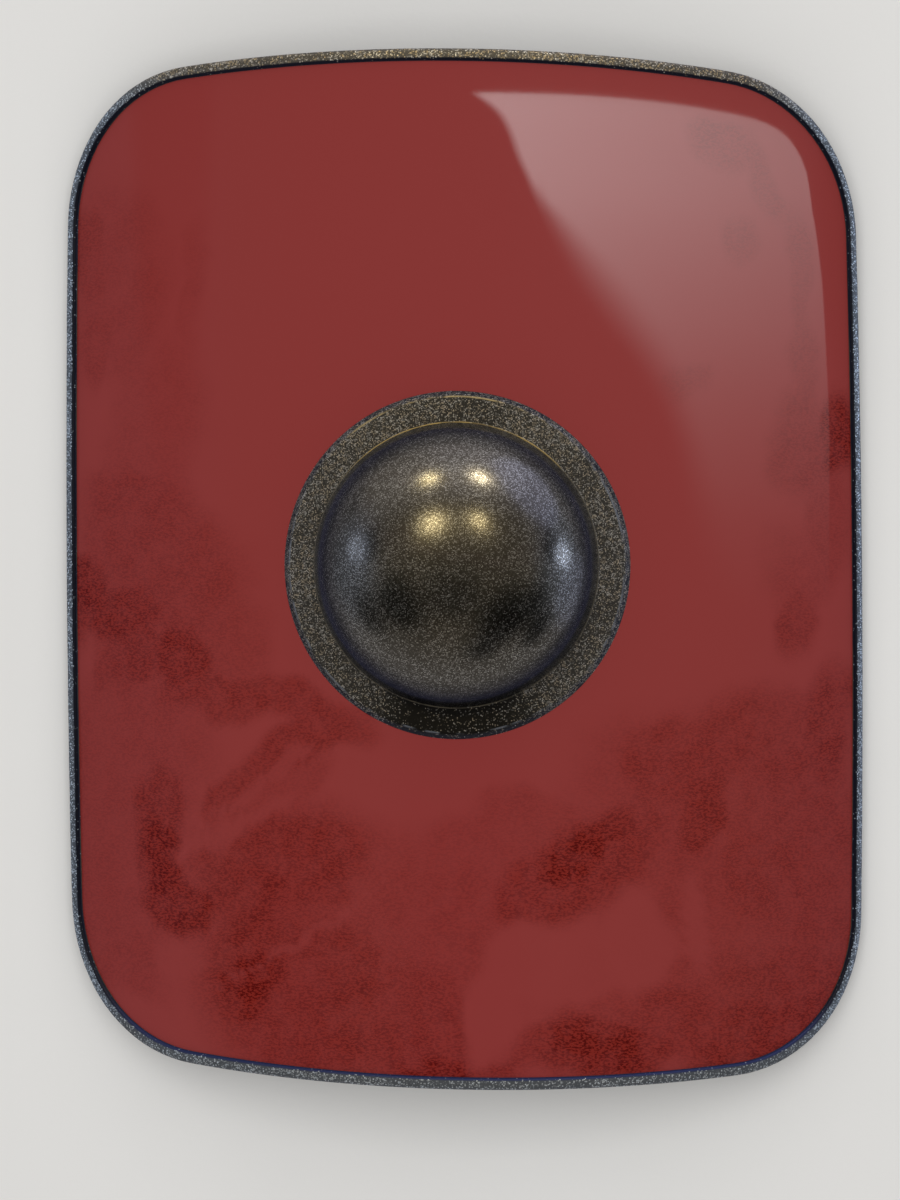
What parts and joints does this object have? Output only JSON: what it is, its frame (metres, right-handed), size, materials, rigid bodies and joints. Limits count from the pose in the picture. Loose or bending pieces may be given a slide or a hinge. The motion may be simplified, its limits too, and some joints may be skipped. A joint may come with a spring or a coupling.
{
  "type": "roman scutum shield",
  "caption": "Curved rectangular Roman shield with round corners, a raised speckled rim, a round domed boss and a hand grip across the hole behind it, lying face up.",
  "frame": {"origin": "on the ground under the middle of the shield, which lies on the rims of its two long sides with the boss up", "axes": "+Z out of the red face, +Y towards the shield's top edge, +X across its width, to the right seen from the front"},
  "size_m": [0.6732, 0.8504, 0.2061],
  "materials": {
    "board": "satin red latex skin with a fine leather grain, in darker patches towards the edges; the back plain and dark",
    "rim": "black latex brushed with gunmetal and speckled with fine gold and silver, satin",
    "boss": "dark gunmetal paint speckled with fine gold and silver, the dome smoother and glossier than its flange",
    "grip": "dark brown leather over a bar, plain"
  },
  "bodies": {
    "root": {"board": "board", "rim": "rim", "boss": "boss", "grip": "grip"}
  },
  "joints": []
}
